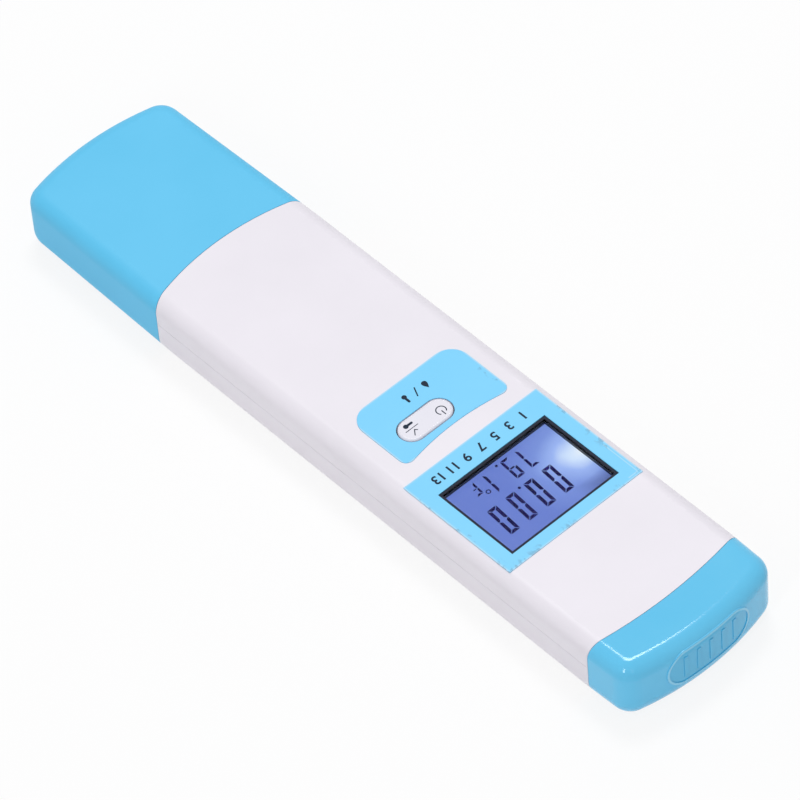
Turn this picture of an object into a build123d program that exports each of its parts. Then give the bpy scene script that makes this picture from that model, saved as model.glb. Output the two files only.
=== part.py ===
from build123d import *
import os
from math import sqrt

# A flat pocket pH tester: a white two-part housing with a long cap over the probe,
# a short cap over the cells, a lit display and one key. Lengths are in millimetres.
# The pen lies on its back. X runs to the right of someone reading the display,
# Y runs from the probe end to the battery end, Z runs out of the display.

# Outer form, shared by the housing and both caps
width = 40.0
length = 180.8
front_edge_radius = 3.4
back_edge_radius = 4.4
inner_edge_radius = 0.4
plan_corner_radius = 4.7
probe_end_draw = 0.9
probe_end_crown = 3.0
probe_taper_length = 48.1
battery_end_draw = 0.35
battery_end_crown = 3.1
battery_taper_length = 14.0
side_blend_radius = 180.0

# Caps and the crowned seams where they meet the housing
probe_cap_length = 40.8
probe_seam_radius = 60.0
probe_cap_wall = 1.5
battery_cap_length = 11.4
battery_seam_radius = 110.0
battery_cap_wall = 1.3
seam_gap = 0.12
cap_fit = 0.08

# Thumb pad with round ends, moulded on the battery cap's end
pad_relief = 0.15
pad_length = 21.8
pad_height = 9.2
pad_line = 0.65
pad_centre_rise = 1.1
pad_rib_width = 0.9
pad_rib_pitch = 3.2
pad_rib_count = 5
pad_rib_margin = 1.1

# Housing
case_wall = 1.5
parting_rise = 1.3
parting_groove = 0.12
tongue_height = 1.2
tongue_inset = 0.75
tongue_fit = 0.05
shoulder = 2.5
probe_neck_length = 11.0
probe_neck_wall = 1.8
battery_neck_length = 6.5
battery_neck_wall = 1.1
rib_width = 1.0
rib_height = 2.4
rib_interval = 22.0
rib_count = 4
root_depth = 0.4

# Films stuck into shallow pockets of the front
film_thickness = 0.2
film_pocket = 0.1
film_fit = 0.05
display_label_side_margin = 2.4
display_label_length = 29.85
display_label_setback = 40.18
button_label_side_margin = 6.075
button_label_x = -0.42
button_label_base_setback = 75.6
button_label_length = 15.5
button_label_dip_radius = 57.0
button_label_base_corner = 4.5
button_label_top_corner = 1.8

# Display stack, from the window down to the board
window_side_margin = 3.45
window_length = 20.85
window_setback = 38.63
lens_margin = 0.85
lens_thickness = 0.8
bezel_line = 0.65
bezel_window_fit = 0.2
bezel_wall = 0.8
bezel_roof = 0.2
stack_fit = 0.03
lcd_side_border = 1.45
lcd_end_border = 2.075
lcd_sheet = 0.85
lcd_ledge = 2.3
backlight_thickness = 1.6
backlight_lamp_width = 0.7
backlight_lamp_length = 3.2
backlight_lamp_offset = 0.1
contact_strip_width = 1.7

# Key, switch and their travel
key_x = 2.95
key_setback = 64.65
key_length = 12.8
key_width = 5.8
key_gap = 0.25
key_proud = 0.35
key_crown_radius = 0.5
key_flange = 1.0
key_flange_thickness = 0.6
key_seal_thickness = 0.4
key_travel = 0.35
switch_side = 6.0
switch_height = 1.8
switch_well_depth = 0.6
plunger_radius = 1.7
plunger_gap = 0.05
lead_stub = 0.35

# Board and what it carries
board_side_gap = 1.8
board_lead_room = 20.1
board_cradle_gap = 6.05
board_thickness = 1.2
board_corner_radius = 1.5
screw_side_margin = 2.9
screw_probe_margin = 6.0
screw_battery_margin = 9.0
screw_shank_radius = 0.95
screw_head_radius = 1.8
screw_head_height = 1.2
screw_bite = 2.6
screw_fit = 0.05
boss_radius = 2.1
chip_side = 9.0
chip_height = 1.4
chip_window_offset = 4.4
radio_width = 12.0
radio_length = 15.0
radio_key_offset = 6.35
radio_board = 0.8
radio_can_height = 1.5
radio_can_margin = 1.0
socket_width = 6.0
socket_length = 4.5
socket_height = 2.6
socket_setback = 0.4
component_edge = 0.4

# Cells (the common 11.6 by 5.4 button size), side by side across the pen
cell_radius = 5.8
cell_height = 5.4
cell_count = 4
cell_step = 0.6
cell_step_radius = 4.9
cell_gap = 0.02
cell_back_gap = 0.15
cell_cover_gap = 0.4
holder_back = 1.4
holder_side = 1.2
holder_side_fit = 0.3
holder_arm_inset = 0.3
holder_plate_reach = 4.6
holder_plate_corner = 2.5
spring_room = 1.3
contact_metal = 0.3
contact_fit = 0.1
contact_drop = 5.0
contact_overlap = 3.0
contact_tongue_height = 4.0
contact_foot_width = 3.0
contact_foot_length = 4.0
gasket_inset = 0.35
gasket_width = 0.6
gasket_depth = 0.5

# Probe
collar_thickness = 1.5
collar_plug_length = 4.5
collar_fit = 0.05
ring_position = 4.2
ring_section = 1.2
ring_clearance = 0.03
ring_edge_radius = 0.4
ring_groove_play = 0.05
guard_cap_gap = 0.5
guard_wall = 1.1
guard_tip_gap = 1.2
guard_slot_width = 3.2
guard_slot_length = 8.5
guard_tip_radius = 0.5
junction_wall = 0.9
electrode_wall = 0.8
electrode_setback = 9.0
bulb_swell = 0.2
bulb_wall = 0.4
wire_radius = 0.4
wire_bulb_gap = 2.0
junction_length = 2.5
junction_end_gap = 0.5
probe_fit = 0.05
temperature_x = 9.4
temperature_radius = 1.6
temperature_setback = 4.0
temperature_seat = 2.5
temperature_boss_wall = 0.9
wire_coat_radius = 0.65
wire_coat_length = 4.0
lead_radius = 0.7
lead_bend = 3.0
lead_spread = 1.6
lead_straight = 6.0
sponge_depth = 3.6

# Places worked out from the sizes above; the cells set how thick the pen is
thickness = 2 * (cell_radius + cell_cover_gap + battery_cap_wall)
mid_height = thickness / 2
parting_height = mid_height + parting_rise
probe_tip_y = -length / 2
battery_tip_y = length / 2 - pad_relief
probe_seam_y = -length / 2 + probe_cap_length
battery_seam_y = length / 2 - battery_cap_length
probe_seam_rise = probe_seam_radius - sqrt(probe_seam_radius**2 - (width / 2) ** 2)
battery_seam_rise = battery_seam_radius - sqrt(battery_seam_radius**2 - (width / 2) ** 2)
probe_neck_end = probe_seam_y - probe_neck_length
battery_neck_end = battery_seam_y + battery_neck_length
display_label_width = width - 2 * display_label_side_margin
display_label_y = battery_seam_y - display_label_setback
button_label_width = width - 2 * button_label_side_margin
button_label_base_y = battery_seam_y - button_label_base_setback
window_width = display_label_width - 2 * window_side_margin
window_y = battery_seam_y - window_setback
lcd_width = window_width + 2 * lcd_side_border
lcd_length = window_length + 2 * lcd_end_border
key_y = battery_seam_y - key_setback
inner_front = thickness - case_wall
film_bed = thickness - film_pocket
lens_bed = film_bed - lens_thickness
bezel_top = lens_bed - stack_fit
bezel_shelf = inner_front - stack_fit
lcd_top = bezel_shelf - bezel_roof
lcd_bottom = lcd_top - 2 * lcd_sheet
board_top = lcd_bottom - 2 * stack_fit - backlight_thickness
board_bottom = board_top - board_thickness
contact_high = board_top + contact_metal
contact_low = contact_high - contact_drop
bezel_width = lcd_width + 2 * stack_fit + 2 * bezel_wall
bezel_length = lcd_length + 2 * stack_fit + 2 * bezel_wall
cell_pitch = cell_height + cell_gap
stack_half = cell_count * cell_pitch / 2
holder_right = stack_half + contact_metal + cell_gap
holder_left = -stack_half - spring_room
bay_half = max(-holder_left, holder_right) + holder_side + holder_side_fit
cell_y = battery_neck_end - cell_radius - holder_side_fit
holder_back_y = cell_y - cell_radius - cell_back_gap
holder_rear_y = holder_back_y - holder_back
collar_face = probe_neck_end - collar_thickness
collar_back = probe_neck_end + collar_plug_length
guard_radius = mid_height - probe_cap_wall - guard_cap_gap
sponge_face_y = probe_tip_y + probe_cap_wall + sponge_depth
guard_tip = sponge_face_y + guard_tip_gap
electrode_radius = guard_radius - guard_wall - junction_wall
electrode_end = guard_tip + electrode_setback
bulb_radius = electrode_radius + bulb_swell
bulb_y = electrode_end - sqrt(bulb_radius**2 - electrode_radius**2)
board_width = width - 2 * case_wall - 2 * board_side_gap
board_low_y = collar_back + board_lead_room
board_high_y = holder_rear_y - board_cradle_gap
board_length = board_high_y - board_low_y
board_y = (board_low_y + board_high_y) / 2
screw_spacing_x = board_width - 2 * screw_side_margin
screw_spacing_y = board_length - screw_probe_margin - screw_battery_margin
screw_centre_y = board_y + (screw_probe_margin - screw_battery_margin) / 2


def case_form(inset):
    """The whole pen's outer form as one closed solid, drawn in by inset on every side."""
    half = width / 2
    probe_half = half - probe_end_draw
    battery_half = half - battery_end_draw
    battery_taper_y = length / 2 - battery_taper_length
    probe_taper_y = -length / 2 + probe_taper_length
    battery_chord_y = battery_tip_y - battery_end_crown
    probe_chord_y = probe_tip_y + probe_end_crown
    with BuildPart() as form:
        with BuildSketch(Plane.XY.offset(inset)) as plan:
            with BuildLine():
                battery_end = ThreePointArc(
                    (-battery_half, battery_chord_y),
                    (0, battery_tip_y),
                    (battery_half, battery_chord_y),
                )
                probe_end = ThreePointArc(
                    (probe_half, probe_chord_y),
                    (0, probe_tip_y),
                    (-probe_half, probe_chord_y),
                )
                Polyline(battery_end @ 1, (half, battery_taper_y), (half, probe_taper_y), probe_end @ 0)
                Polyline(probe_end @ 1, (-half, probe_taper_y), (-half, battery_taper_y), battery_end @ 0)
            make_face()
            rows = plan.vertices().group_by(Axis.Y)
            fillet(rows[1] + rows[2], radius=side_blend_radius)
            rows = plan.vertices().group_by(Axis.Y)
            fillet(rows[0] + rows[-1], radius=plan_corner_radius)
            if inset:
                offset(amount=-inset, kind=Kind.INTERSECTION, mode=Mode.REPLACE)
        extrude(amount=thickness - 2 * inset)
        fillet(
            form.edges().group_by(Axis.Z)[-1],
            radius=max(front_edge_radius - inset, inner_edge_radius),
        )
        fillet(
            form.edges().group_by(Axis.Z)[0],
            radius=max(back_edge_radius - inset, inner_edge_radius),
        )
    return form.part


def beyond_seam(apex, radius, outward):
    """Flat region past a crowned seam; outward is 1 at the battery end and -1 at the probe end."""
    reach = 0.6 * width
    edge = apex - outward * (radius - sqrt(radius**2 - reach**2))
    far = outward * length
    with BuildSketch() as region:
        with BuildLine():
            seam = ThreePointArc((-reach, edge), (0, apex), (reach, edge))
            Polyline(seam @ 1, (reach, far), (-reach, far), seam @ 0)
        make_face()
    return region.sketch


def probe_side(shift):
    """Region past the probe seam, with the seam moved along Y by shift."""
    return beyond_seam(probe_seam_y + shift, probe_seam_radius, -1)


def battery_side(shift):
    """Region past the battery seam, with the seam moved along Y by shift."""
    return beyond_seam(battery_seam_y + shift, battery_seam_radius, 1)


def across(low_y, high_y, across_width):
    """Rectangle centred on the pen's length axis, from low_y to high_y."""
    with BuildSketch() as band:
        with Locations((0, (low_y + high_y) / 2)):
            Rectangle(across_width, high_y - low_y)
    return band.sketch


def stretch(form, low_y, high_y):
    """The length of a form that lies between two places along the pen."""
    with BuildPart() as piece:
        add(form)
        extrude(across(low_y, high_y, 2 * width), amount=thickness, mode=Mode.INTERSECT)
    return piece.part


def form_between(outer_inset, inner_inset, low_z, high_z, end_shift):
    """A band of the housing's wall between two insets and two heights, clear of both seams."""
    outer = case_form(outer_inset)
    inner = case_form(inner_inset)
    with BuildPart() as band:
        add(outer)
        add(inner, mode=Mode.SUBTRACT)
        extrude(probe_side(end_shift), amount=thickness, mode=Mode.SUBTRACT)
        extrude(battery_side(-end_shift), amount=thickness, mode=Mode.SUBTRACT)
        split(bisect_by=Plane.XY.offset(low_z), keep=Keep.TOP)
        split(bisect_by=Plane.XY.offset(high_z), keep=Keep.BOTTOM)
    return band.part


def save(part, name):
    """Label a finished piece and write it."""
    part.label = name
    export_step(part, f"parts/{name}.step")


os.makedirs("parts", exist_ok=True)

outer_form = case_form(0)
inner_form = case_form(case_wall)
probe_neck_form = case_form(probe_cap_wall + cap_fit)
probe_neck_bore = case_form(probe_cap_wall + cap_fit + probe_neck_wall)
battery_neck_form = case_form(battery_cap_wall + cap_fit)
battery_neck_bore = case_form(battery_cap_wall + cap_fit + battery_neck_wall)

# The space inside the two housing halves: the wide middle, the bore of each neck
# and the bay for the cells.
with BuildPart() as inner_space:
    add(inner_form)
    extrude(probe_side(shoulder), amount=thickness, mode=Mode.SUBTRACT)
    extrude(battery_side(-shoulder), amount=thickness, mode=Mode.SUBTRACT)

probe_bore = stretch(probe_neck_bore, probe_neck_end, probe_seam_y + probe_seam_rise + shoulder)

battery_bore_y = battery_seam_y - battery_seam_rise - shoulder
battery_neck_tube = stretch(battery_neck_bore, battery_bore_y, battery_neck_end)
with BuildPart() as battery_bore:
    add(battery_neck_tube)
    with BuildSketch(Plane.XY.offset(case_wall)):
        add(across(battery_bore_y, battery_neck_end, 2 * bay_half))
    extrude(amount=thickness - 2 * case_wall)

# Both necks, before the housing is split; the cells' bay is open above and below in its neck.
probe_neck = stretch(probe_neck_form, probe_neck_end, probe_seam_y + probe_seam_rise)

battery_neck_band = stretch(battery_neck_form, battery_seam_y - battery_seam_rise, battery_neck_end)
with BuildPart() as battery_neck:
    add(battery_neck_band)
    with BuildSketch():
        add(battery_side(0))
        add(across(battery_bore_y, battery_neck_end, 2 * bay_half), mode=Mode.INTERSECT)
    extrude(amount=thickness, mode=Mode.SUBTRACT)

# Groove round the probe neck and the rubber ring that lies in it.
ring_y = probe_seam_y - ring_position
ring_outer = probe_cap_wall + ring_clearance
ring_form = case_form(ring_outer)
ring_core = case_form(ring_outer + ring_section)
ring_bed = case_form(ring_outer + ring_section + ring_groove_play)

ring_groove_half = ring_section / 2 + ring_groove_play
ring_groove_band = stretch(outer_form, ring_y - ring_groove_half, ring_y + ring_groove_half)
with BuildPart() as ring_groove:
    add(ring_groove_band)
    add(ring_bed, mode=Mode.SUBTRACT)

ring_band = stretch(ring_form, ring_y - ring_section / 2, ring_y + ring_section / 2)
with BuildPart() as probe_seal_ring:
    add(ring_band)
    ring_faces = probe_seal_ring.faces().filter_by(Axis.Y)
    fillet(ring_faces.edges(), radius=ring_edge_radius)
    add(ring_core, mode=Mode.SUBTRACT)
save(probe_seal_ring.part, "probe_seal_ring")

# Gasket let into the housing's shoulder, under the rim of the battery cap.
gasket_form = case_form(gasket_inset)
gasket_core = case_form(gasket_inset + gasket_width)

with BuildPart() as battery_gasket:
    add(gasket_form)
    add(gasket_core, mode=Mode.SUBTRACT)
    extrude(battery_side(-gasket_depth), amount=thickness, mode=Mode.INTERSECT)
    extrude(battery_side(0), amount=thickness, mode=Mode.SUBTRACT)
save(battery_gasket.part, "battery_gasket")

# Housing as one hollow, cut into halves below.
with BuildPart() as housing:
    add(outer_form)
    extrude(probe_side(0), amount=thickness, mode=Mode.SUBTRACT)
    extrude(battery_side(0), amount=thickness, mode=Mode.SUBTRACT)
    add(probe_neck)
    add(battery_neck.part)
    add(inner_space.part, mode=Mode.SUBTRACT)
    add(probe_bore, mode=Mode.SUBTRACT)
    add(battery_bore.part, mode=Mode.SUBTRACT)
    add(ring_groove.part, mode=Mode.SUBTRACT)
    add(battery_gasket.part, mode=Mode.SUBTRACT)

tongue = form_between(
    tongue_inset, case_wall, parting_height - tongue_height, parting_height, 2 * shoulder
)
tongue_slot = form_between(
    tongue_inset - tongue_fit,
    case_wall + tongue_fit,
    parting_height - tongue_height - tongue_fit,
    parting_height,
    2 * shoulder - tongue_fit,
)
parting_line = form_between(
    -parting_groove, parting_groove, parting_height, parting_height + parting_groove, 0
)

# Outline of the film round the key: three straight sides and a hollow upper edge.
with BuildSketch() as button_label_outline:
    with BuildLine():
        label_half = button_label_width / 2
        label_left = button_label_x - label_half
        label_right = button_label_x + label_half
        dip_y = button_label_base_y + button_label_length
        dip_rise = button_label_dip_radius - sqrt(button_label_dip_radius**2 - label_half**2)
        dip = ThreePointArc(
            (label_left, dip_y + dip_rise),
            (button_label_x, dip_y),
            (label_right, dip_y + dip_rise),
        )
        Polyline(
            dip @ 1,
            (label_right, button_label_base_y),
            (label_left, button_label_base_y),
            dip @ 0,
        )
    make_face()
    label_rows = button_label_outline.vertices().group_by(Axis.Y)
    fillet(label_rows[0], radius=button_label_base_corner)
    label_rows = button_label_outline.vertices().group_by(Axis.Y)
    fillet(label_rows[-1], radius=button_label_top_corner)


def key_outline(margin):
    """The key's pill outline, widened by margin all round."""
    with BuildSketch() as pill:
        with Locations((key_x, key_y)):
            SlotOverall(key_length + 2 * margin, key_width + 2 * margin)
    return pill.sketch


def window_outline(margin):
    """The display window's outline, widened by margin all round."""
    with BuildSketch() as pane:
        with Locations((0, window_y)):
            Rectangle(window_width + 2 * margin, window_length + 2 * margin)
    return pane.sketch


# Front half: film beds, lens step, window, key hole and four screw bosses.
with BuildPart() as front_shell:
    add(housing.part)
    split(bisect_by=Plane.XY.offset(parting_height), keep=Keep.TOP)
    add(tongue)
    add(parting_line, mode=Mode.SUBTRACT)
    with BuildSketch(Plane.XY.offset(film_bed)):
        with Locations((0, display_label_y)):
            Rectangle(display_label_width + 2 * film_fit, display_label_length + 2 * film_fit)
        offset(button_label_outline.sketch, amount=film_fit, mode=Mode.ADD)
    extrude(amount=thickness, mode=Mode.SUBTRACT)
    with BuildSketch(Plane.XY.offset(lens_bed)):
        add(window_outline(lens_margin + stack_fit))
    extrude(amount=thickness, mode=Mode.SUBTRACT)
    with BuildSketch(Plane.XY.offset(inner_front - case_wall)):
        add(window_outline(bezel_window_fit))
        add(key_outline(key_gap))
    extrude(amount=thickness, mode=Mode.SUBTRACT)
    with BuildSketch(Plane.XY.offset(board_top)):
        with Locations((0, screw_centre_y)):
            with GridLocations(screw_spacing_x, screw_spacing_y, 2, 2):
                Circle(boss_radius)
                Circle(screw_shank_radius + screw_fit, mode=Mode.SUBTRACT)
    extrude(amount=inner_front - board_top + root_depth)
    with BuildSketch(Plane.XY.offset(board_top)):
        with Locations((0, screw_centre_y)):
            with GridLocations(screw_spacing_x, screw_spacing_y, 2, 2):
                Circle(screw_shank_radius + screw_fit)
    extrude(amount=screw_bite + screw_fit, mode=Mode.SUBTRACT)
save(front_shell.part, "front_shell")

# Rear half: plain outside, stiffening ribs across the inside, slot for the tongue.
with BuildPart() as rear_shell:
    add(housing.part)
    split(bisect_by=Plane.XY.offset(parting_height), keep=Keep.BOTTOM)
    add(tongue_slot, mode=Mode.SUBTRACT)
    with BuildSketch(Plane.XY.offset(case_wall - root_depth)):
        with Locations((0, board_y)):
            with GridLocations(0, rib_interval, 1, rib_count):
                Rectangle(width - 2 * case_wall - 2 * back_edge_radius, rib_width)
    extrude(amount=rib_height + root_depth)
save(rear_shell.part, "rear_shell")

# Long cap over the probe.
probe_cap_hollow = case_form(probe_cap_wall)
with BuildPart() as probe_cap:
    add(outer_form)
    extrude(probe_side(-seam_gap), amount=thickness, mode=Mode.INTERSECT)
    add(probe_cap_hollow, mode=Mode.SUBTRACT)
save(probe_cap.part, "probe_cap")

# Wet pad in the end of the long cap.
sponge_form = case_form(probe_cap_wall + probe_fit)
with BuildPart() as soaking_sponge:
    add(sponge_form)
    extrude(across(probe_tip_y, sponge_face_y, 2 * width), amount=thickness, mode=Mode.INTERSECT)
save(soaking_sponge.part, "soaking_sponge")

# Thumb pad on the end face: a raised line with round ends, and upright ribs inside it.
pad_plane = Plane.XZ.offset(-battery_seam_y)
pad_front_form = case_form(-pad_relief)
pad_root_form = case_form(battery_cap_wall / 2)
with BuildPart() as thumb_pad:
    with BuildSketch(pad_plane):
        with Locations((0, mid_height + pad_centre_rise)):
            SlotOverall(pad_length, pad_height)
            SlotOverall(pad_length - 2 * pad_line, pad_height - 2 * pad_line, mode=Mode.SUBTRACT)
    extrude(amount=-battery_cap_length - pad_relief)
    with BuildSketch(pad_plane):
        with Locations((0, mid_height + pad_centre_rise)):
            with GridLocations(pad_rib_pitch, 0, pad_rib_count, 1):
                Rectangle(pad_rib_width, pad_height)
            SlotOverall(
                pad_length - 2 * (pad_line + pad_rib_margin),
                pad_height - 2 * (pad_line + pad_rib_margin),
                mode=Mode.INTERSECT,
            )
    extrude(amount=-battery_cap_length - pad_relief)
    add(pad_front_form, mode=Mode.INTERSECT)
    add(pad_root_form, mode=Mode.SUBTRACT)

# Short cap over the cells.
battery_cap_hollow = case_form(battery_cap_wall)
with BuildPart() as battery_cap:
    add(outer_form)
    extrude(battery_side(seam_gap), amount=thickness, mode=Mode.INTERSECT)
    add(battery_cap_hollow, mode=Mode.SUBTRACT)
    add(thumb_pad.part)
save(battery_cap.part, "battery_cap")

# Films.
with BuildPart() as display_label:
    with BuildSketch(Plane.XY.offset(film_bed)):
        with Locations((0, display_label_y)):
            Rectangle(display_label_width, display_label_length)
        add(window_outline(0), mode=Mode.SUBTRACT)
    extrude(amount=film_thickness)
save(display_label.part, "display_label")

with BuildPart() as button_label:
    with BuildSketch(Plane.XY.offset(film_bed)):
        add(button_label_outline.sketch)
        add(key_outline(key_gap), mode=Mode.SUBTRACT)
    extrude(amount=film_thickness)
save(button_label.part, "button_label")

# Display stack.
with BuildPart() as display_lens:
    with BuildSketch(Plane.XY.offset(lens_bed)):
        add(window_outline(lens_margin))
    extrude(amount=lens_thickness)
save(display_lens.part, "display_lens")

with BuildPart() as display_bezel:
    with BuildSketch(Plane.XY.offset(board_top)):
        with Locations((0, window_y)):
            Rectangle(bezel_width, bezel_length)
    extrude(amount=bezel_shelf - board_top)
    with BuildSketch(Plane.XY.offset(bezel_shelf)):
        add(window_outline(0))
    extrude(amount=bezel_top - bezel_shelf)
    with BuildSketch(Plane.XY.offset(board_top)):
        with Locations((0, window_y)):
            Rectangle(lcd_width + 2 * stack_fit, lcd_length + 2 * stack_fit)
    extrude(amount=lcd_top - board_top, mode=Mode.SUBTRACT)
    with BuildSketch(Plane.XY.offset(board_top)):
        add(window_outline(-bezel_line))
    extrude(amount=thickness, mode=Mode.SUBTRACT)
    with BuildSketch(Plane.XY.offset(board_top)):
        with Locations((-bezel_width / 2, window_y + backlight_lamp_offset)):
            Rectangle(2 * bezel_wall + 2 * stack_fit, backlight_lamp_length + 2 * stack_fit)
    extrude(amount=backlight_thickness + stack_fit, mode=Mode.SUBTRACT)
save(display_bezel.part, "display_bezel")

lcd_low_y = window_y - lcd_length / 2
lcd_high_y = window_y + lcd_length / 2
with BuildPart() as lcd_glass:
    with BuildSketch(Plane.XY.offset(lcd_bottom + lcd_sheet)):
        add(across(lcd_low_y, lcd_high_y, lcd_width))
    extrude(amount=lcd_sheet - stack_fit)
    with BuildSketch(Plane.XY.offset(lcd_bottom)):
        add(across(lcd_low_y + lcd_ledge, lcd_high_y, lcd_width))
    extrude(amount=lcd_sheet)
save(lcd_glass.part, "lcd_glass")

with BuildPart() as backlight:
    with BuildSketch(Plane.XY.offset(board_top + stack_fit)):
        add(across(lcd_low_y + lcd_ledge, lcd_high_y, lcd_width))
        lamp_x = -lcd_width / 2 - backlight_lamp_width / 2
        with Locations((lamp_x, window_y + backlight_lamp_offset)):
            Rectangle(backlight_lamp_width, backlight_lamp_length)
    extrude(amount=backlight_thickness)
save(backlight.part, "backlight")

strip_low_y = lcd_low_y + (lcd_ledge - contact_strip_width) / 2
with BuildPart() as contact_strip:
    with BuildSketch(Plane.XY.offset(board_top)):
        add(across(strip_low_y, strip_low_y + contact_strip_width, lcd_width - 2 * bezel_wall))
    extrude(amount=lcd_bottom + lcd_sheet - board_top - stack_fit)
save(contact_strip.part, "contact_strip")

# Key with its retaining flange, the rubber washer above it and the switch below it.
flange_top = inner_front - key_seal_thickness - 2 * stack_fit
flange_bottom = flange_top - key_flange_thickness
with BuildPart() as button_key:
    with BuildSketch(Plane.XY.offset(flange_bottom)):
        add(key_outline(key_flange))
    extrude(amount=key_flange_thickness)
    with BuildSketch(Plane.XY.offset(flange_top)):
        add(key_outline(0))
    extrude(amount=thickness + key_proud - flange_top)
    fillet(button_key.edges().group_by(Axis.Z)[-1], radius=key_crown_radius)
save(button_key.part, "button_key")

with BuildPart() as button_seal:
    with BuildSketch(Plane.XY.offset(flange_top + stack_fit)):
        add(key_outline(key_flange))
        add(key_outline(stack_fit), mode=Mode.SUBTRACT)
    extrude(amount=key_seal_thickness)
save(button_seal.part, "button_seal")

switch_top = board_top + switch_height
with BuildPart() as tact_switch:
    with BuildSketch(Plane.XY.offset(board_top)):
        with Locations((key_x, key_y)):
            RectangleRounded(switch_side, switch_side, component_edge)
    extrude(amount=switch_height)
    with BuildSketch(Plane.XY.offset(board_top)):
        with Locations((key_x, key_y)):
            with GridLocations(switch_side + lead_stub, switch_side / 2, 2, 2):
                Rectangle(2 * lead_stub, 2 * lead_stub)
    extrude(amount=lead_stub)
    with BuildSketch(Plane.XY.offset(switch_top)):
        with Locations((key_x, key_y)):
            Circle(plunger_radius + plunger_gap)
    extrude(amount=-switch_well_depth, mode=Mode.SUBTRACT)
save(tact_switch.part, "tact_switch")

plunger_bottom = switch_top - switch_well_depth + key_travel + plunger_gap
with BuildPart() as switch_plunger:
    with BuildSketch(Plane.XY.offset(plunger_bottom)):
        with Locations((key_x, key_y)):
            Circle(plunger_radius)
    extrude(amount=flange_bottom - stack_fit - plunger_bottom)
save(switch_plunger.part, "switch_plunger")

# Board, its parts and its screws.
with BuildPart() as main_board:
    with BuildSketch(Plane.XY.offset(board_bottom)):
        with Locations((0, board_y)):
            RectangleRounded(board_width, board_length, board_corner_radius)
        with Locations((0, screw_centre_y)):
            with GridLocations(screw_spacing_x, screw_spacing_y, 2, 2):
                Circle(screw_shank_radius + screw_fit, mode=Mode.SUBTRACT)
    extrude(amount=board_thickness)
save(main_board.part, "main_board")

with BuildPart() as board_screws:
    with BuildSketch(Plane.XY.offset(board_bottom)):
        with Locations((0, screw_centre_y)):
            with GridLocations(screw_spacing_x, screw_spacing_y, 2, 2):
                Circle(screw_shank_radius)
    extrude(amount=board_thickness + screw_bite)
    with BuildSketch(Plane.XY.offset(board_bottom - screw_head_height)):
        with Locations((0, screw_centre_y)):
            with GridLocations(screw_spacing_x, screw_spacing_y, 2, 2):
                Circle(screw_head_radius)
    extrude(amount=screw_head_height)
save(board_screws.part, "board_screws")

with BuildPart() as controller_chip:
    with BuildSketch(Plane.XY.offset(board_bottom)):
        with Locations((0, window_y - chip_window_offset)):
            Rectangle(chip_side, chip_side)
    extrude(amount=-chip_height)
    fillet(controller_chip.edges().filter_by(Axis.Z), radius=component_edge)
save(controller_chip.part, "controller_chip")

with BuildPart() as radio_module:
    with BuildSketch(Plane.XY.offset(board_bottom)):
        with Locations((0, key_y - radio_key_offset)):
            Rectangle(radio_width, radio_length)
    extrude(amount=-radio_board)
    with BuildSketch(Plane.XY.offset(board_bottom - radio_board)):
        with Locations((0, key_y - radio_key_offset - radio_can_margin)):
            RectangleRounded(
                radio_width - 2 * radio_can_margin,
                radio_length - 4 * radio_can_margin,
                component_edge,
            )
    extrude(amount=-radio_can_height)
save(radio_module.part, "radio_module")

socket_y = board_low_y + socket_length / 2 + socket_setback
with BuildPart() as probe_socket:
    with BuildSketch(Plane.XY.offset(board_top)):
        with Locations((0, socket_y)):
            Rectangle(socket_width, socket_length)
    extrude(amount=socket_height)
    fillet(probe_socket.edges().group_by(Axis.Z)[-1], radius=component_edge)
save(probe_socket.part, "probe_socket")

# Four cells in a row across the pen, each a can with a smaller cap on one face.
with BuildPart() as button_cells:
    for index in range(cell_count):
        can_x = -stack_half + index * cell_pitch + cell_gap / 2
        with BuildSketch(Plane.YZ.offset(can_x)):
            with Locations((cell_y, mid_height)):
                Circle(cell_step_radius)
        extrude(amount=cell_step)
        with BuildSketch(Plane.YZ.offset(can_x + cell_step)):
            with Locations((cell_y, mid_height)):
                Circle(cell_radius)
        extrude(amount=cell_height - cell_step)
save(button_cells.part, "button_cells")

# Cradle: a trough behind the cells, a plate at each end of the row and a bulkhead
# that fills the housing's section.
holder_half_height = cell_radius - holder_arm_inset
plate_front_y = cell_y + holder_plate_reach
bulkhead_form = case_form(case_wall + holder_side_fit)
with BuildPart() as battery_holder:
    add(bulkhead_form)
    extrude(across(holder_rear_y, holder_back_y, 2 * width), amount=thickness, mode=Mode.INTERSECT)
    with BuildSketch(Plane.YZ.offset(holder_left - holder_side)):
        with Locations(((holder_rear_y + cell_y) / 2, mid_height)):
            Rectangle(cell_y - holder_rear_y, 2 * holder_half_height)
        with Locations((cell_y, mid_height)):
            Circle(cell_radius + cell_back_gap, mode=Mode.SUBTRACT)
    extrude(amount=holder_right - holder_left + 2 * holder_side)
    for plate_x in (holder_left - holder_side, holder_right):
        with BuildSketch(Plane.YZ.offset(plate_x)) as plate:
            with Locations(((holder_rear_y + plate_front_y) / 2, mid_height)):
                Rectangle(plate_front_y - holder_rear_y, 2 * holder_half_height)
            fillet(plate.vertices().group_by(Axis.X)[-1], radius=holder_plate_corner)
        extrude(amount=holder_side)
    with BuildSketch(Plane.XZ.offset(-cell_y)):
        for slot_x in (holder_left + contact_metal / 2, holder_right - contact_metal / 2):
            with Locations((slot_x, (contact_low + contact_high) / 2)):
                Rectangle(
                    contact_metal + 2 * contact_fit,
                    contact_high - contact_low + 2 * contact_fit,
                )
    extrude(amount=-(cell_y - holder_rear_y), both=True, mode=Mode.SUBTRACT)
save(battery_holder.part, "battery_holder")


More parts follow.
